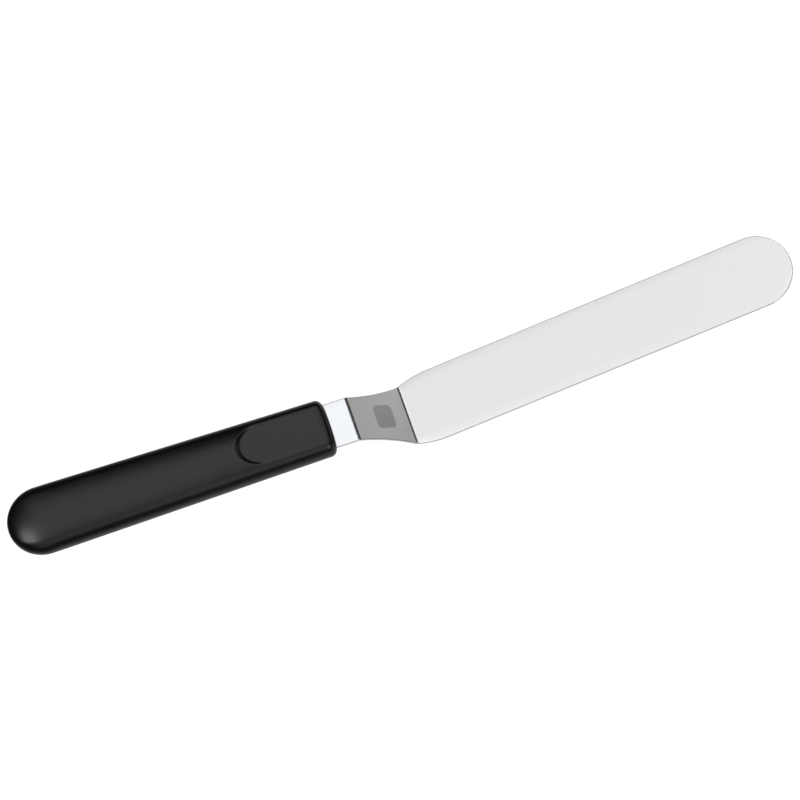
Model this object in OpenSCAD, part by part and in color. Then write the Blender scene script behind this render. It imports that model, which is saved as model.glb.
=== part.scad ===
// Offset spatula: a long round-ended steel blade, cranked up through a flared riser
// to a strap and hidden tang, sandwiched in a two-shell handle with a thumb flat.
// Millimetres, +Z up, blade lying flat on z = 0, +X towards the blade tip.

/* [Blade] */
// Length of the flat blade, heel bend to tip
blade_len = 168.8; // [150:0.2:190]
// Width of the flat blade
blade_w = 30.9; // [29:0.1:34]
// Thickness of the steel
steel_t = 1.1; // [0.9:0.1:1.4]

/* [Riser] */
// Horizontal run of the riser between its two bends
riser_run = 19; // [17:0.2:22]
// Height that the riser lifts the strap above the blade
riser_rise = 21; // [17:0.5:23]
// Inner radius of both bends
bend_r = 2.2; // [1.5:0.1:2.6]
// Radius of the concave flare where the strap widens to the riser
flare_r = 46; // [44:1:50]

/* [Strap and tang] */
// Width of the strap
strap_w = 19.5; // [18.5:0.1:20]
// Length of strap seen between the top bend and the handle
strap_len = 9.7; // [8:0.1:14]
// Upward slope of the strap and handle from the blade
handle_slope = 12.5; // [9:0.5:15]
// Length of the tang inside the handle
tang_len = 104; // [100:1:108]
// Width of the tang
tang_w = 13; // [12:0.5:14]

/* [Handle] */
// Length of the handle
handle_len = 136; // [130:0.5:145]
// Width across the round butt
butt_w = 28.6; // [28:0.1:30]
// Width at the front end
front_w = 24.5; // [24:0.1:26]
// Height of the crowned top above the middle of the tang
crown_h = 7; // [6.8:0.1:7.6]
// Depth of the gently crowned underside below the middle of the tang
under_h = 7.1; // [6.9:0.1:7.5]
// Length over which the top and the underside curve down to the butt's end
dome_len = 24; // [20:0.5:28]
// Length of the thumb flat, front edge to its round end
thumb_len = 39; // [34:0.5:42]
// Depth of the thumb flat below the crown
thumb_depth = 1.4; // [1.2:0.1:1.5]

/* [Tang pins] */
// Diameter of the pins that lock the tang
pin_d = 3; // [2.8:0.1:3.2]
// Distance from the handle front to the first pin
pin_first = 22; // [20:0.5:24]
// Spacing of the pins
pin_pitch = 34; // [32:0.5:36]

/* [Hidden] */
$fn = 96;
eps = 0.01;                  // overlap of joined pieces, and overshoot of cutters
blade_r = blade_w / 2;       // round tip
half_strap = strap_w / 2;

// Bends of the steel
t2 = steel_t / 2;
bend_mid = bend_r + t2;
riser_a = atan2(riser_rise, riser_run);
heel_set = bend_mid * tan(riser_a / 2);
top_set = bend_mid * tan((riser_a - handle_slope) / 2);
strap_hidden = 3;            // full-width strap sunk in the front wall

// Flare in plan: a concave arc, then a convex arc tangent to the blade's edge
flare_start = -(riser_run - 1.5);
flare_end = 13.5;
flare_dx = flare_end - flare_start;
flare_dy = blade_r - half_strap;
flare_a = 2 * atan(flare_dy / flare_dx);
heel_r = flare_dx / sin(flare_a) - flare_r;

// Handle, measured from the middle of the strap at the handle's front face.
// Its two shells meet in the plane of the tang, at height 0.
butt_r = butt_w / 2;
butt_x = -(handle_len - butt_r);
dome_x = -(handle_len - dome_len);
dome_steps = 12;
dome_end = 88;               // plan angle of the last section at the butt's end
side_r = 6.1;                // rounding of the upper shell's sides
under_r = 6.5;               // rounding of the lower shell's sides
under_drop = 0.3;            // their centre's depth below the tang's plane
front_r = 3;                 // rounding of the front end, all round
front_steps = 5;
slice = 0.1;                 // thickness of a section that shapes the front end
bow_r = 45;                  // the front face is slightly bowed
bow_out = 0.6;
bow_a = 8;
bow_h = 3;
arc_steps = 10;
round_steps = 32;
wall = 3.6;
front_wall = 6;
cavity_x = -115;             // centre and radius of the cavity's round end
cavity_r = 9.5;
roof_z = 4.2;                // inner face of the upper shell's top
floor_z = -4.2;              // inner face of the lower shell's underside
fit = 0.1;                   // clearance round the tang
pin_fit = 0.02;              // radial clearance round a pin
pin_seat = 0.6;              // depth of a pin's end in the roof and in the floor
boss_d = 7.4;
rib_t = 1.6;
pin_n = 3;
pin_x = [for (i = [0 : pin_n - 1]) -(pin_first + i * pin_pitch)];
thumb_r = 8.7;
thumb_z = crown_h - thumb_depth;
thumb_x = -(thumb_len - thumb_r);
tang_chamfer = 4;

// Place of the handle in the part, and of the part on its origin
strap_top = [-riser_run, t2 + riser_rise];
front_at = strap_top + strap_len * [-cos(handle_slope), sin(handle_slope)];
butt_reach = front_at[0] + dome_x * cos(handle_slope)
    - norm([dome_len * cos(handle_slope), under_h * sin(handle_slope)]);
mid_x = (blade_len + butt_reach) / 2;

steel = [0.80, 0.81, 0.83];
black = [0.10, 0.10, 0.11];
grey = [0.55, 0.56, 0.58];

function arc(c, r, from, to, n = arc_steps) = [for (i = [0 : n])
    let (a = from + (to - from) * i / n) c + r * [cos(a), sin(a)]];

// Section of one shell on one side of the middle, drawn away from the tang's plane,
// for half-width w of the handle and set in by i all round
function section(w, upper, i = 0) =
    let (r = upper ? side_r : under_r, low = upper ? 0 : under_drop,
        h = (upper ? crown_h : under_h) - low,
        crown = (pow(w - r, 2) + pow(h, 2) - pow(r, 2)) / (2 * (h - r)),
        a = acos((w - r) / (crown - r)))
    concat([[0, 0]], upper ? [] : [[w - i, 0]],
        arc([w - r, low], r - i, 0, a),
        arc([0, low + h - crown], crown - i, a + (90 - a) / arc_steps, 90));

module place_handle() {
    translate([front_at[0], 0, front_at[1]])
        rotate([0, handle_slope, 0])
            children();
}

// ---- Blade ----

// Side view of the bent strip, from the blade tip to the end of the tang
module side_view() {
    heel_c = [heel_set, t2 + bend_mid];
    top_c = strap_top + top_set * [cos(riser_a), -sin(riser_a)]
        - bend_mid * [sin(riser_a), cos(riser_a)];
    tang_end = front_at + tang_len * [-cos(handle_slope), sin(handle_slope)];
    up = t2 * [sin(handle_slope), cos(handle_slope)];
    polygon(concat([[blade_len, 0]],
        arc(heel_c, bend_mid + t2, -90, -90 - riser_a),
        arc(top_c, bend_mid - t2, 90 - riser_a, 90 - handle_slope),
        [tang_end - up, tang_end + up],
        arc(top_c, bend_mid + t2, 90 - handle_slope, 90 - riser_a),
        arc(heel_c, bend_mid - t2, -90 - riser_a, -90),
        [[blade_len, steel_t]]));
}

function on_handle(u) = front_at[0] - u * cos(handle_slope);

// Plan view of the strip: tang, strap, flare and round-ended blade
module plan_view() {
    edge = concat(
        [[on_handle(tang_len), tang_w / 2 - tang_chamfer],
            [on_handle(tang_len - tang_chamfer), tang_w / 2],
            [on_handle(strap_hidden), tang_w / 2], [on_handle(strap_hidden), half_strap]],
        arc([flare_start, half_strap + flare_r], flare_r, -90, -90 + flare_a),
        arc([flare_end, blade_r - heel_r], heel_r, 90 + flare_a, 90),
        arc([blade_len - blade_r, 0], blade_r, 90, 0, round_steps));
    polygon(concat(edge, [for (i = [len(edge) - 2 : -1 : 0]) [edge[i][0], -edge[i][1]]]));
}

module blade() {
    color(steel)
        translate([-mid_x, 0, 0])
            difference() {
                intersection() {
                    rotate([90, 0, 0])
                        linear_extrude(height = 2 * blade_w, center = true)
                            side_view();
                    linear_extrude(height = 2 * tang_len, center = true)
                        plan_view();
                }
                place_handle()
                    for (x = pin_x)
                        translate([x, 0, -steel_t])
                            cylinder(d = pin_d + 2 * pin_fit, h = 2 * steel_t);
            }
}

// ---- Handle ----

// A thin slice of a shell ending at u, scaled by k across and in height
module slice_at(u, w, upper, i = 0, k = [1, 1]) {
    for (side = [0, 1])
        mirror([0, side, 0])
            translate([u - slice, 0, 0])
                rotate([90, 0, 90])
                    linear_extrude(height = slice)
                        scale(k)
                            polygon(section(w, upper, i));
}

// Height at u in the domed end, as a share of the full height
function dome(u) = sqrt(1 - pow((dome_x - u) / dome_len, 2));

// Half-width of the tapered sides at u
function side_w(u) = front_w / 2
    + (butt_r - front_w / 2) * (u + front_r) / (butt_x + front_r);

// Outside of one shell, solid, its joint face down
module shell_skin(upper) {
    hull() {
        for (u = [dome_x, (dome_x + butt_x) / 2])
            slice_at(u, side_w(u), upper, k = [1, dome(u)]);
        for (j = [0 : dome_steps])
            let (a = dome_end * j / dome_steps, u = butt_x - butt_r * sin(a))
                slice_at(u + slice, butt_r, upper, k = [cos(a), dome(u)]);
        for (j = [0 : front_steps])
            slice_at(front_r * (sin(90 * j / front_steps) - 1), front_w / 2, upper,
                i = front_r * (1 - cos(90 * j / front_steps)));
        linear_extrude(height = bow_h)
            polygon(arc([bow_out - bow_r, 0], bow_r, -bow_a, bow_a));
    }
}

// Outline in plan of the cavity between the shells
module cavity_plan() {
    r = 1;
    half = front_w / 2 - wall - r;
    run = -cavity_x - front_wall - r;
    lean = atan2(half, run) - asin((cavity_r - r) / norm([run, half]));
    polygon(concat(
        arc([-front_wall - r, half], r, 0, 90 + lean),
        arc([cavity_x, 0], cavity_r, 90 + lean, 270 - lean, round_steps),
        arc([-front_wall - r, -half], r, -90 - lean, 0)));
}

// Bosses and cross ribs between two heights, up against the tang
module tang_supports(low, high) {
    for (x = pin_x) {
        translate([x, 0, low])
            cylinder(d = boss_d, h = high - low);
        translate([x - rib_t / 2, -tang_w / 2, low])
            cube([rib_t, tang_w, high - low]);
    }
}

module pin_holes() {
    for (x = pin_x)
        translate([x, 0, floor_z - pin_seat])
            cylinder(d = pin_d + 2 * pin_fit, h = roof_z - floor_z + 2 * pin_seat);
}

// The strap's and the tang's way in through the front wall
module tang_slot() {
    translate([-strap_hidden - fit, -half_strap - fit, -t2 - fit])
        cube([strap_hidden + front_r, strap_w + 2 * fit, steel_t + 2 * fit]);
    translate([-front_wall - 1, -tang_w / 2 - fit, -t2 - fit])
        cube([front_wall + 1, tang_w + 2 * fit, steel_t + 2 * fit]);
}

module lower_shell() {
    difference() {
        mirror([0, 0, 1])
            shell_skin(false);
        translate([0, 0, floor_z])
            linear_extrude(height = under_h)
                cavity_plan();
        tang_slot();
    }
    tang_supports(floor_z - eps, -t2 - fit);
}

module handle_lower_shell() {
    color(black)
        translate([-mid_x, 0, 0])
            place_handle()
                difference() {
                    lower_shell();
                    pin_holes();
                }
}

module upper_shell() {
    difference() {
        shell_skin(true);
        translate([0, 0, roof_z - crown_h])
            linear_extrude(height = crown_h)
                cavity_plan();
        tang_slot();
        translate([0, 0, thumb_z])
            linear_extrude(height = 2 * thumb_depth)
                polygon(concat([[front_r, -thumb_r]],
                    arc([thumb_x, 0], thumb_r, 270, 90, round_steps),
                    [[front_r, thumb_r]]));
    }
    tang_supports(t2 + fit, roof_z + eps);
}

module handle_upper_shell() {
    color(black)
        translate([-mid_x, 0, 0])
            place_handle()
                difference() {
                    upper_shell();
                    pin_holes();
                }
}

// ---- Pins ----

module tang_pin(i) {
    color(grey)
        translate([-mid_x, 0, 0])
            place_handle()
                translate([pin_x[i], 0, floor_z - pin_seat])
                    cylinder(d = pin_d, h = roof_z - floor_z + 2 * pin_seat, $fn = 48);
}

module tang_pin_front() {
    tang_pin(0);
}

module tang_pin_middle() {
    tang_pin(1);
}

module tang_pin_rear() {
    tang_pin(2);
}

blade();
handle_lower_shell();
handle_upper_shell();
tang_pin_front();
tang_pin_middle();
tang_pin_rear();
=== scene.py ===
"""Offset spatula: bent steel blade, two-shell handle, plain pale floor and soft light."""
import math
import bpy
import bmesh
from mathutils import Euler, Matrix, Vector


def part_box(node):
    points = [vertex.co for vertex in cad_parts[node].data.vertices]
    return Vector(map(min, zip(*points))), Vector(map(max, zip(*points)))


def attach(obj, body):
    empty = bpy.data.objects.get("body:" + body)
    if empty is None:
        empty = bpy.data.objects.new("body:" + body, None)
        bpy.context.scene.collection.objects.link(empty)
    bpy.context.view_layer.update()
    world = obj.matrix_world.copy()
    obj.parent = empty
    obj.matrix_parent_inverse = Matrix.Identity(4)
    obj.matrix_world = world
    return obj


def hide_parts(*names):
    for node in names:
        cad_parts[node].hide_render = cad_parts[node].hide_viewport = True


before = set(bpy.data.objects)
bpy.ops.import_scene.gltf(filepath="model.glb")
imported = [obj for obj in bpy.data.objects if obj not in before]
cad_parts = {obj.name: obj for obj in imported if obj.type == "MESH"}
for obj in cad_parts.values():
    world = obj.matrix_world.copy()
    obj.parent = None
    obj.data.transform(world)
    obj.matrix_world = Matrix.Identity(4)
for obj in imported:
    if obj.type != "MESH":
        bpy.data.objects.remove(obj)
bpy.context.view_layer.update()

MM = 0.001

# ------------------------------------------------------------------ sizes, as in the CAD, in mm
BLADE_LEN, BLADE_W, STEEL_T = 168.8, 30.9, 1.1
RUN, RISE, BEND_R = 19.0, 21.0, 2.2
FLARE_R, FLARE_START, FLARE_END = 46.0, -(RUN - 1.5), 13.5
STRAP_W, STRAP_LEN = 19.5, 9.7
SLOPE = math.radians(12.5)
HANDLE_LEN, BUTT_W, FRONT_W = 136.0, 28.6, 24.5
CROWN, SIDE_R = 7.0, 6.1
UNDER, UNDER_R, UNDER_DROP = 7.1, 6.5, 0.3
THUMB_LEN, THUMB_DEPTH, THUMB_R = 39.0, 1.4, 8.7
FRONT_R, DOME_LEN = 3.0, 24.0

HALF_T = STEEL_T / 2
BLADE_R, HALF_STRAP, BUTT_R = BLADE_W / 2, STRAP_W / 2, BUTT_W / 2
BEND_MID = BEND_R + HALF_T
RISER_A = math.atan2(RISE, RUN)
RISER_L = math.hypot(RISE, RUN)
TIP_X = BLADE_LEN - BLADE_R
BUTT_X = -(HANDLE_LEN - BUTT_R)
DOME_X = -(HANDLE_LEN - DOME_LEN)
FRONT = (-RUN - STRAP_LEN * math.cos(SLOPE), HALF_T + RISE + STRAP_LEN * math.sin(SLOPE))

# The CAD's box is centred on the origin, so its far end places the blade's tip.
MID_X = BLADE_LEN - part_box("blade")[1][0] / MM

# ------------------------------------------------------------------ finer shapes, in mm
# Edge of the steel, from its faces to its rim: (inset from the outline, drop below the face)
STEEL_EDGE = [(0.30, 0.0), (0.14, 0.025), (0.04, 0.11), (0.0, 0.24)]
# Edge of a shell where it meets the other: (inset, height above the joint)
JOINT_EDGE = [(0.0, 0.075), (0.02, 0.03), (0.075, 0.0)]
TANG_IN = 12.0              # length of the tang that is kept inside the handle
HEEL_END = 20.0             # the blade's stations are closer together up to here
THUMB_WALL = 1.7            # width of the soft wall round the thumb flat's rear arc
THUMB_POWER = 1.9           # how that wall steepens outwards
THUMB_RISE = (2.0, 8.0)     # it starts this far ahead of the arc's centre, and grows over this
THUMB_REACH = 3.0           # the sections follow the thumb flat from this far behind it
THUMB_BLEND = 0.5           # rounding between the thumb flat and the crown
THUMB_LIP = 2.2             # rounding of the thumb flat's front edge
FINE_X = -44.0              # the handle's stations are closer together from here forward
ROLL, ROLL_DROP = 5.0, 1.5  # the crown's roll into the front face: length and fall
ROLL_STEEP = 0.97           # how near the roll comes to upright, at 1
FRONT_TUCK = 0.5            # narrowing of the sides round the front edge
BOW, BOW_LEN, BOW_HALF = 0.35, 6.0, 10.0    # bulge of the front face: height, depth, half-width


def to_world(x, y, z):
    return Vector(((x - MID_X) * MM, y * MM, z * MM))


def handle_point(u, y, w):
    """A point of the handle's own frame: u along it, w up out of its top."""
    return to_world(FRONT[0] + u * math.cos(SLOPE) + w * math.sin(SLOPE), y,
                    FRONT[1] - u * math.sin(SLOPE) + w * math.cos(SLOPE))


def smooth(t):
    t = min(1.0, max(0.0, t))
    return t * t * (3 - 2 * t)


def round_off(reach, radius):
    """Fall of a quarter round at a distance from where it starts."""
    return radius - math.sqrt(max(0.0, radius * radius - reach ** 2))


def mesh_object(name, verts, faces, sharp_deg, along=None):
    """A smooth closed mesh with sharp edges past an angle; along is a value for each point."""
    merge, sliver = 1e-6, 1e-7
    mesh = bpy.data.meshes.new(name)
    mesh.from_pydata([tuple(v) for v in verts], [], faces)
    if along:
        mesh.attributes.new("along", "FLOAT", "POINT").data.foreach_set("value", along)
    bm = bmesh.new()
    bm.from_mesh(mesh)
    bmesh.ops.remove_doubles(bm, verts=bm.verts, dist=merge)
    bmesh.ops.dissolve_degenerate(bm, edges=bm.edges, dist=sliver)
    bmesh.ops.recalc_face_normals(bm, faces=bm.faces)
    for f in bm.faces:
        f.smooth = True
    for e in bm.edges:
        if len(e.link_faces) == 2:
            e.smooth = e.calc_face_angle(0.0) < math.radians(sharp_deg)
    bm.to_mesh(mesh)
    bm.free()
    obj = bpy.data.objects.new(name, mesh)
    bpy.context.scene.collection.objects.link(obj)
    return obj


# ------------------------------------------------------------------ steel
def steel_path():
    """Points (x, z) and headings of the strip's middle line, from the tang to the tip."""
    heel = BEND_MID * math.tan(RISER_A / 2)
    top_bend = RISER_A - SLOPE
    top = BEND_MID * math.tan(top_bend / 2)
    stations = []

    def straight(p, heading, length, steps):
        """Add a straight run and give its end."""
        dx, dz = math.cos(heading), math.sin(heading)
        for i in range(steps):
            s = length * i / steps
            stations.append((p[0] + s * dx, p[1] + s * dz, heading))
        return p[0] + length * dx, p[1] + length * dz

    def bend(p, heading, angle, steps):
        """Add a bend and give its end and the heading after it."""
        c = 1 if angle > 0 else -1
        centre = (p[0] - c * BEND_MID * math.sin(heading), p[1] + c * BEND_MID * math.cos(heading))

        def on_arc(a):
            return centre[0] + c * BEND_MID * math.sin(a), centre[1] - c * BEND_MID * math.cos(a)

        for i in range(steps):
            a = heading + angle * i / steps
            stations.append((*on_arc(a), a))
        return on_arc(heading + angle), heading + angle

    p = (FRONT[0] - TANG_IN * math.cos(SLOPE), FRONT[1] + TANG_IN * math.sin(SLOPE))
    p = straight(p, -SLOPE, TANG_IN + STRAP_LEN - top, steps=24)
    p, heading = bend(p, -SLOPE, -top_bend, steps=14)
    p = straight(p, heading, RISER_L - top - heel, steps=48)
    p, heading = bend(p, heading, RISER_A, steps=18)
    p = straight(p, 0.0, HEEL_END - p[0], steps=36)
    p = straight(p, 0.0, TIP_X - HEEL_END, steps=90)
    tip_steps = 64
    for i in range(tip_steps + 1):
        t = math.pi / 2 * i / tip_steps
        stations.append((p[0] + BLADE_R * math.sin(t), p[1], 0.0))
    return stations


def half_width(x):
    """Half-width of the strip in plan at x."""
    flare_dx = FLARE_END - FLARE_START
    flare_a = 2 * math.atan((BLADE_R - HALF_STRAP) / flare_dx)
    heel_r = flare_dx / math.sin(flare_a) - FLARE_R
    if x <= FLARE_START:
        return HALF_STRAP
    if x <= FLARE_START + FLARE_R * math.sin(flare_a):
        return HALF_STRAP + FLARE_R - math.sqrt(FLARE_R ** 2 - (x - FLARE_START) ** 2)
    if x <= FLARE_END:
        return BLADE_R - heel_r + math.sqrt(heel_r ** 2 - (FLARE_END - x) ** 2)
    if x <= TIP_X:
        return BLADE_R
    return math.sqrt(max(0.0, BLADE_R ** 2 - (x - TIP_X) ** 2))


def build_blade():
    """The steel strip, as a ring of points round it at each station of its middle line."""
    path = steel_path()
    face_inset = STEEL_EDGE[0][0]
    upper_edge = [(inset, HALF_T - drop) for inset, drop in STEEL_EDGE[1:]]
    side = upper_edge + [(inset, -h) for inset, h in reversed(upper_edge)]
    across = [1 - 2 * i / 8 for i in range(9)]
    # distance along the strip from the riser's middle, told to its upper face only
    elsewhere = 1.0
    middle = min(range(len(path)), key=lambda i: abs(path[i][0] + RUN / 2))
    runs = [0.0]
    for q0, q1 in zip(path, path[1:]):
        runs.append(runs[-1] + math.dist(q0[:2], q1[:2]))

    verts, rows, along = [], [], []
    for (x, z, a), run in zip(path, runs):
        w = half_width(x)
        # round the tip the insets lean forward with the outline
        ct = w / BLADE_R if x > TIP_X else 1.0
        st = math.sqrt(max(0.0, 1 - ct * ct))
        face_w = max(0.0, w - face_inset * ct)
        ring = [(face_w * k, face_inset, HALF_T) for k in across]
        ring += [(-max(0.0, w - inset * ct), inset, h) for inset, h in side]
        ring += [(-face_w * k, face_inset, -HALF_T) for k in across]
        ring += [(max(0.0, w - inset * ct), inset, h) for inset, h in reversed(side)]
        rows.append(range(len(verts), len(verts) + len(ring)))
        verts += [to_world(x - inset * st - h * math.sin(a), y, z + h * math.cos(a))
                  for y, inset, h in ring]
        along += [(run - runs[middle]) * MM] * len(across)
        along += [elsewhere] * (len(ring) - len(across))

    faces = []
    n = len(rows[0])
    for r0, r1 in zip(rows, rows[1:]):
        for i in range(n):
            j = (i + 1) % n
            faces.append((r0[i], r0[j], r1[j], r1[i]))
    faces.append(tuple(reversed(rows[0])))
    return mesh_object("blade_steel", verts, faces, 50.0, along)


# ------------------------------------------------------------------ handle
def side_half(u):
    """Half-width of the handle at u, its straight sides touching the round butt."""
    dx = -BUTT_X - FRONT_R
    lean = math.atan2(FRONT_W / 2, dx) - math.asin(BUTT_R / math.hypot(dx, FRONT_W / 2))
    ox, oy = -math.sin(lean), math.cos(lean)
    px, py = BUTT_X + BUTT_R * ox, BUTT_R * oy
    return py - (u - px) * ox / oy


def outside(w, r, low, h, inset):
    """One side of a shell's section, from the middle out to the joint, inset all round:
    a shallow crown over h, then a shoulder of radius r that ends at the height low."""
    crown = ((w - r) ** 2 + h * h - r * r) / (2 * (h - r))
    a = math.acos((w - r) / (crown - r))
    y_edge = (crown - inset) * math.cos(a)
    crown_steps, shoulder_steps = 30, 16
    pts = []
    for i in range(crown_steps):
        y = y_edge * i / crown_steps
        pts.append((y, low + h - crown + math.sqrt((crown - inset) ** 2 - y * y)))
    for i in range(shoulder_steps + 1):
        t = a * (1 - i / shoulder_steps)
        pts.append((w - r + (r - inset) * math.cos(t), low + (r - inset) * math.sin(t)))
    return pts


def thumb_cut(u, y):
    """Height of the thumb flat at a plan point: plane, a soft wall round its rear arc,
    and a rounded front edge."""
    centre = -(THUMB_LEN - THUMB_R)
    past_arc = math.hypot(min(0.0, u - centre), y) - THUMB_R
    wall = max(0.0, (past_arc + THUMB_WALL) / THUMB_WALL) ** THUMB_POWER
    rear = smooth((centre + THUMB_RISE[0] - u) / THUMB_RISE[1])
    z = CROWN - THUMB_DEPTH + rear * THUMB_DEPTH * wall
    if u > -THUMB_LIP:
        z -= round_off(u + THUMB_LIP, THUMB_LIP)
    return z


def soft_min(a, b, k):
    h = max(k - abs(a - b), 0.0) / k
    return min(a, b) - h * h * k / 4


def dome(u):
    """Height of the butt's end as a share of the full height."""
    return 1.0 if u > DOME_X else math.sqrt(max(0.0, 1 - ((DOME_X - u) / DOME_LEN) ** 2))


def bow(u, y):
    """How far the middle of the front face stands forward."""
    return smooth((u + BOW_LEN) / BOW_LEN) * BOW * max(0.0, 1 - (y / BOW_HALF) ** 2)


def station_list():
    """(u, half-width of the section, inset, scale across) from the butt's end forward."""
    butt_steps, edge_steps = 48, 20
    out = []
    for i in range(1, butt_steps):
        a = math.pi / 2 * (1 - i / butt_steps)
        out.append((BUTT_X - BUTT_R * math.sin(a), BUTT_R, 0.0, math.cos(a)))
    for start, end, steps in ((BUTT_X, FINE_X, 80), (FINE_X, -FRONT_R, 190)):
        for i in range(steps):
            u = start + (end - start) * i / steps
            out.append((u, side_half(u), 0.0, 1.0))
    for i in range(edge_steps + 1):
        t = math.pi / 2 * i / edge_steps
        w = side_half(-FRONT_R) - FRONT_TUCK * (1 - math.cos(t))
        out.append((FRONT_R * (math.sin(t) - 1), w, FRONT_R * (1 - math.cos(t)), 1.0))
    return out


def closed_section(u, pts, y_edge, side, across):
    """A section's outside led round its edge and along the joint to the middle, with the
    scale across and the dome's height; side is 1 above the joint and -1 below it."""
    pts = pts + [(y_edge - inset, side * z) for inset, z in JOINT_EDGE] + [(0.0, 0.0)]
    return [(y * across, z * dome(u)) for y, z in pts]


def upper_section(u, w, inset, across):
    pts = outside(w, SIDE_R, 0.0, CROWN, inset)
    if u > -THUMB_LEN - THUMB_REACH:
        pts = [(y, soft_min(z, thumb_cut(u, y), THUMB_BLEND)) for y, z in pts]
    if u > -ROLL:
        t = min(1.0, (u + ROLL) / ROLL)
        drop = ROLL_DROP * (1 - math.sqrt(1 - t * t * ROLL_STEEP))
        pts = [(y, z * (1 - drop / CROWN)) for y, z in pts]
    return closed_section(u, pts[:-1], pts[-1][0], 1, across)


def lower_section(u, w, inset, across):
    pts = [(y, -z) for y, z in outside(w, UNDER_R, UNDER_DROP, UNDER - UNDER_DROP, inset)]
    return closed_section(u, pts, pts[-1][0], -1, across)


def build_shell(name, section):
    """Mirrored sections from the butt's end to the front face, closed at both ends."""
    verts, faces, rows = [], [], []

    def add(u, y, z):
        verts.append(handle_point(u + bow(u, y), y, z))
        return len(verts) - 1

    stations = station_list()
    for u, w, inset, across in stations:
        pts = section(u, w, inset, across)
        right = [add(u, y, z) for y, z in pts]
        left = [right[0]] + [add(u, -y, z) for y, z in pts[1:-1]] + [right[-1]]
        rows.append((right, left))
    butt_end = add(-HANDLE_LEN, 0.0, 0.0)
    for half in rows[0]:
        for i in range(len(half) - 1):
            faces.append((half[i], half[i + 1], butt_end))
    for (r0, l0), (r1, l1) in zip(rows, rows[1:]):
        for i in range(len(r0) - 1):
            faces.append((r0[i], r0[i + 1], r1[i + 1], r1[i]))
            faces.append((l0[i + 1], l0[i], l1[i], l1[i + 1]))
    # front face: rings shrinking towards a point inside it, so that its bow is smooth
    right, left = rows[-1]
    front = section(*stations[-1])
    outline = front + [(-y, z) for y, z in front[-2:0:-1]]
    ring = right + left[-2:0:-1]
    middle = front[0][1] / 2
    count = 8
    for k in range(1, count):
        t = 1 - k / count
        inner = [add(0.0, y * t, middle + (z - middle) * t) for y, z in outline]
        for i in range(len(ring)):
            j = (i + 1) % len(ring)
            faces.append((ring[i], ring[j], inner[j], inner[i]))
        ring = inner
    point = add(0.0, 0.0, middle)
    for i in range(len(ring)):
        faces.append((ring[i], ring[(i + 1) % len(ring)], point))
    return mesh_object(name, verts, faces, 34.0)


# ------------------------------------------------------------------ materials
# Sockets of a mix node of colours
MIX_FACTOR, MIX_A, MIX_B, MIX_OUT = 0, 6, 7, 2


def node_tools(mat):
    """A material's shader, with short ways to add and to join its nodes."""
    mat.use_nodes = True
    nt = mat.node_tree
    bsdf = nt.nodes["Principled BSDF"]

    def node(kind, **inputs):
        n = nt.nodes.new(kind)
        for k, v in inputs.items():
            if k in n.inputs:
                n.inputs[k].default_value = v
            else:
                setattr(n, k, v)
        return n

    def link(a, ao, b, bi):
        nt.links.new(a.outputs[ao], b.inputs[bi])

    return bsdf, node, link


def maths(node, link, operation, *inputs):
    """A math node; inputs are numbers or (node, output) pairs."""
    n = node("ShaderNodeMath", operation=operation)
    for i, v in enumerate(inputs):
        if isinstance(v, tuple):
            link(v[0], v[1], n, i)
        else:
            n.inputs[i].default_value = v
    return (n, "Value")


def remap(node, link, source, lo, hi, to_lo, to_hi, **inputs):
    """A map range node from lo..hi to to_lo..to_hi, clamped."""
    n = node("ShaderNodeMapRange", **inputs)
    for key, v in zip(("From Min", "From Max", "To Min", "To Max"), (lo, hi, to_lo, to_hi)):
        n.inputs[key].default_value = v
    link(source[0], source[1], n, "Value")
    return (n, "Result")


def stretched_noise(node, link, coords, scale, turn=0.0, detail=4.0):
    """Noise with its own scale per metre along, across and upright, turned about Z."""
    m = node("ShaderNodeMapping", Rotation=(0, 0, turn), Scale=scale)
    link(coords, "Object", m, "Vector")
    n = node("ShaderNodeTexNoise", Scale=1.0, Detail=detail, Roughness=0.6)
    link(m, "Vector", n, "Vector")
    return (n, "Fac")


def etched_patch(node, link, coords):
    """Mask of a plain etched patch with round corners on the riser's upper face."""
    place_along, half_long, half_wide = 2.0 * MM, 4.6 * MM, 5.2 * MM
    corner, soft = 2.0 * MM, 0.12 * MM
    attr = node("ShaderNodeAttribute", attribute_name="along")
    place = node("ShaderNodeSeparateXYZ")
    link(coords, "Object", place, "Vector")
    sides = []
    for source, centre, half in (((attr, "Fac"), place_along, half_long),
                                 ((place, "Y"), 0.0, half_wide)):
        off = maths(node, link, "SUBTRACT", source, centre)
        off = maths(node, link, "ABSOLUTE", off)
        off = maths(node, link, "SUBTRACT", off, half - corner)
        off = maths(node, link, "MAXIMUM", off, 0.0)
        sides.append(maths(node, link, "MULTIPLY", off, off))
    reach = maths(node, link, "SQRT", maths(node, link, "ADD", sides[0], sides[1]))
    return remap(node, link, reach, corner - soft, corner + soft, 1.0, 0.0)


def bumped(node, link, bsdf, height, strength, distance):
    bump = node("ShaderNodeBump", Strength=strength, Distance=distance)
    link(height[0], height[1], bump, "Height")
    link(bump, "Normal", bsdf, "Normal")


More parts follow.
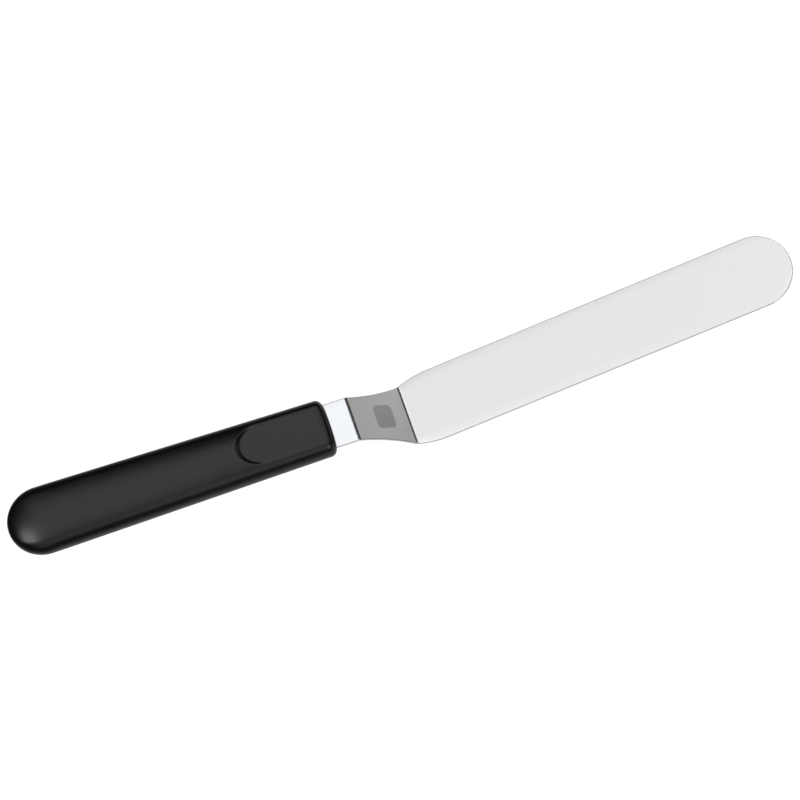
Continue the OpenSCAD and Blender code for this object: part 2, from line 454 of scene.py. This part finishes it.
def steel_material(name, colour, rough, patch=False):
    """Satin steel: fine brushing, a few light scratches, soft clouding and worn rims."""
    mat = bpy.data.materials.new(name)
    bsdf, node, link = node_tools(mat)
    bsdf.inputs["Metallic"].default_value = 1.0
    coords = node("ShaderNodeTexCoord")
    brush = stretched_noise(node, link, coords, (70, 3200, 3200))
    cloud = stretched_noise(node, link, coords, (30, 30, 30), detail=3.0)
    scratch_a = stretched_noise(node, link, coords, (25, 1500, 1500), 0.21, 2.0)
    scratch_b = stretched_noise(node, link, coords, (30, 1300, 1300), -0.33, 2.0)
    marks = maths(node, link, "MAXIMUM", remap(node, link, scratch_a, 0.70, 0.76, 0.0, 1.0),
                  remap(node, link, scratch_b, 0.71, 0.77, 0.0, 1.0))
    geo = node("ShaderNodeNewGeometry")
    rim = remap(node, link, (geo, "Pointiness"), 0.53, 0.60, 0.0, 1.0)
    roughness = maths(node, link, "ADD",
                      remap(node, link, brush, 0.3, 0.7, rough - 0.02, rough + 0.03),
                      remap(node, link, cloud, 0.3, 0.7, -0.02, 0.02))
    roughness = maths(node, link, "MULTIPLY_ADD", marks, 0.05, roughness)
    roughness = maths(node, link, "MULTIPLY_ADD", rim, 0.08, roughness)
    tone = remap(node, link, brush, 0.25, 0.75, 0.97, 1.0)
    tone = maths(node, link, "MULTIPLY_ADD", marks, -0.025, tone)
    if patch:
        mask = etched_patch(node, link, coords)
        frost = stretched_noise(node, link, coords, (2600, 2600, 2600), detail=1.0)
        dull = remap(node, link, frost, 0.35, 0.65, -0.24, -0.15)
        tone = maths(node, link, "ADD", tone, maths(node, link, "MULTIPLY", mask, dull))
        roughness = maths(node, link, "MULTIPLY_ADD", mask, 0.14, roughness)
    link(roughness[0], roughness[1], bsdf, "Roughness")
    tint = node("ShaderNodeMix", data_type="RGBA", blend_type="MULTIPLY")
    tint.inputs[MIX_FACTOR].default_value = 1.0
    tint.inputs[MIX_A].default_value = (*colour, 1)
    link(tone[0], tone[1], tint, MIX_B)
    link(tint, MIX_OUT, bsdf, "Base Color")
    height = maths(node, link, "MULTIPLY_ADD", marks, -0.6, brush)
    bumped(node, link, bsdf, height, 0.06, 0.02 * MM)
    return mat


def plastic_material(name):
    """Black satin plastic: fine moulded grain, cloudy gloss, polished high spots."""
    mat = bpy.data.materials.new(name)
    bsdf, node, link = node_tools(mat)
    bsdf.inputs["IOR"].default_value = 1.49
    coords = node("ShaderNodeTexCoord")
    grain = stretched_noise(node, link, coords, (4200, 4200, 4200), detail=2.0)
    cloud = stretched_noise(node, link, coords, (55, 55, 55), detail=3.0)
    scuff = stretched_noise(node, link, coords, (90, 900, 900), 0.4, 2.0)
    scuff = remap(node, link, scuff, 0.68, 0.76, 0.0, 1.0)
    geo = node("ShaderNodeNewGeometry")
    worn = remap(node, link, (geo, "Pointiness"), 0.52, 0.62, 0.0, 1.0)
    roughness = remap(node, link, cloud, 0.3, 0.7, 0.27, 0.33)
    roughness = maths(node, link, "MULTIPLY_ADD", scuff, 0.04, roughness)
    roughness = maths(node, link, "MULTIPLY_ADD", worn, -0.04, roughness)
    link(roughness[0], roughness[1], bsdf, "Roughness")
    tint = node("ShaderNodeMix", data_type="RGBA")
    tint.inputs[MIX_A].default_value = (0.0016, 0.0016, 0.0018, 1)
    tint.inputs[MIX_B].default_value = (0.0028, 0.0028, 0.0030, 1)
    link(cloud[0], cloud[1], tint, MIX_FACTOR)
    link(tint, MIX_OUT, bsdf, "Base Color")
    bumped(node, link, bsdf, grain, 0.22, 0.03 * MM)
    return mat


steel = steel_material("blade_steel", (0.79, 0.787, 0.784), 0.25, patch=True)
pin_steel = steel_material("pin_steel", (0.60, 0.61, 0.62), 0.30)
black = plastic_material("handle_black")

# ------------------------------------------------------------------ pieces
blade = build_blade()
blade.data.materials.append(steel)
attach(blade, "root")
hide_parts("blade")

upper = build_shell("handle_upper", upper_section)
upper.data.materials.append(black)
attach(upper, "root")
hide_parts("handle_upper_shell")

lower = build_shell("handle_lower", lower_section)
lower.data.materials.append(black)
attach(lower, "root")
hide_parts("handle_lower_shell")

for pin in ("tang_pin_front", "tang_pin_middle", "tang_pin_rear"):
    for pin_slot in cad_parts[pin].material_slots:
        pin_slot.material = pin_steel

# ------------------------------------------------------------------ stage
FLOOR_SIZE, FLOOR_GREY = 8.0, 0.14
WORLD_REFLECTED, WORLD_SEEN = 0.03, 0.62
PANEL_DISTANCE, PANEL_AIM = 4.0, 0.015      # metres from a point at this height over the middle

bpy.ops.mesh.primitive_plane_add(size=FLOOR_SIZE, location=(0, 0, 0))
floor = bpy.context.object
floor.name = "floor"
floor_white = bpy.data.materials.new("floor_white")
bsdf, node, link = node_tools(floor_white)
bsdf.inputs["Base Color"].default_value = (FLOOR_GREY, FLOOR_GREY, FLOOR_GREY, 1)
bsdf.inputs["Roughness"].default_value = 0.95
bsdf.inputs["Specular IOR Level"].default_value = 0.0
bsdf.inputs["Emission Color"].default_value = (1, 1, 1, 1)
coords = node("ShaderNodeTexCoord")


def fading(squash, near, far, bright, dim):
    """Painted glow of the floor, a pool of light falling off away from the tool between two
    distances in metres; squash shortens the distances along X."""
    m = node("ShaderNodeMapping", Scale=(squash, 1, 0))
    link(coords, "Object", m, "Vector")
    dist = node("ShaderNodeVectorMath", operation="LENGTH")
    link(m, "Vector", dist, "Vector")
    return remap(node, link, (dist, "Value"), near, far, bright, dim,
                 interpolation_type="SMOOTHSTEP")


# Painted light: the floor glows, brightest round the tool, which washes out the tool's shadow on
# it; it glows more to the eye than it casts on the tool, so it shows as a burnt-out white.
seen = fading(1.0, 0.27, 1.6, 1.0, 0.60)
cast = fading(0.35, 0.05, 0.22, 0.52, 0.04)
rays = node("ShaderNodeLightPath")
glow = node("ShaderNodeMix", data_type="FLOAT")
link(rays, "Is Camera Ray", glow, "Factor")
link(cast[0], cast[1], glow, "A")
link(seen[0], seen[1], glow, "B")
link(glow, "Result", bsdf, "Emission Strength")
floor.data.materials.append(floor_white)

# The surroundings reflect dark, as in a dim room; the backdrop behind the tool is pale.
world = bpy.data.worlds.new("studio")
bpy.context.scene.world = world
world.use_nodes = True
wt = world.node_tree
back = wt.nodes["Background"]
back.inputs["Color"].default_value = (0.95, 0.97, 1.0, 1)
back.inputs["Strength"].default_value = WORLD_REFLECTED
pale = wt.nodes.new("ShaderNodeBackground")
pale.inputs["Color"].default_value = (1, 1, 1, 1)
pale.inputs["Strength"].default_value = WORLD_SEEN
world_rays = wt.nodes.new("ShaderNodeLightPath")
pick = wt.nodes.new("ShaderNodeMixShader")
wt.links.new(world_rays.outputs["Is Camera Ray"], pick.inputs[0])
wt.links.new(back.outputs[0], pick.inputs[1])
wt.links.new(pale.outputs[0], pick.inputs[2])
wt.links.new(pick.outputs[0], wt.nodes["World Output"].inputs["Surface"])


def panel(name, toward, spread, radiance, colour=(1, 1, 1)):
    """A soft box seen from the tool in a direction, spanning the spread of degrees to each
    side (level, then upright), with the radiance it shows."""
    size = [2 * PANEL_DISTANCE * math.tan(math.radians(a)) for a in spread]
    light = bpy.data.lights.new(name, "AREA")
    light.shape = "RECTANGLE"
    light.size, light.size_y = size
    light.energy = radiance * math.pi * size[0] * size[1]
    light.color = colour
    obj = bpy.data.objects.new(name, light)
    away = Vector(toward).normalized()
    place = away * PANEL_DISTANCE + Vector((0, 0, PANEL_AIM))
    side = Vector((0, 1, 0)) if abs(away.x) > 0.8 else Vector((1, 0, 0))
    x = (side - away * side.dot(away)).normalized()
    y = away.cross(x)
    obj.matrix_world = Matrix.Translation(place) @ Matrix(
        ((x.x, y.x, away.x), (x.y, y.y, away.y), (x.z, y.z, away.z))).to_4x4()
    obj.visible_camera = False
    bpy.context.scene.collection.objects.link(obj)


# The steel mirrors the top box in its blade, the strap box in its strap and the right box in
# its riser; the others shape the handle's shoulders, front edge and butt.
panel("top_box", (0.08, 0.26, 0.96), (22.5, 23), 1.02)
panel("strap_box", (0.36, 0.32, 0.87), (10, 20), 0.42, (0.72, 0.82, 1.0))
panel("near_box", (0.05, -0.61, 0.79), (30, 28), 0.62)
panel("low_near_box", (0.05, -0.97, 0.26), (30, 6), 0.12)
panel("right_box", (0.93, 0.34, 0.08), (18, 8), 0.53)
panel("front_lamp", (0.80, -0.05, 0.60), (7, 9), 0.9)
panel("right_lamp", (0.42, -0.78, 0.46), (8, 8), 4.0)
panel("left_lamp", (-0.46, 0.02, 0.89), (8, 9), 8.0)

# ------------------------------------------------------------------ camera
cam_data = bpy.data.cameras.new("camera")
cam_data.sensor_width = 36.0
cam_data.lens = 110.60775
cam = bpy.data.objects.new("camera", cam_data)
cam_place = Vector((125.960, -349.494, 946.016)) * MM
cam_turn = Euler([math.radians(a) for a in (16.83378, 14.23455, -19.02061)])
cam.matrix_world = Matrix.LocRotScale(cam_place, cam_turn, None)
bpy.context.scene.collection.objects.link(cam)
bpy.context.scene.camera = cam
bpy.context.scene.view_settings.view_transform = "Standard"
bpy.context.scene.view_settings.look = "None"
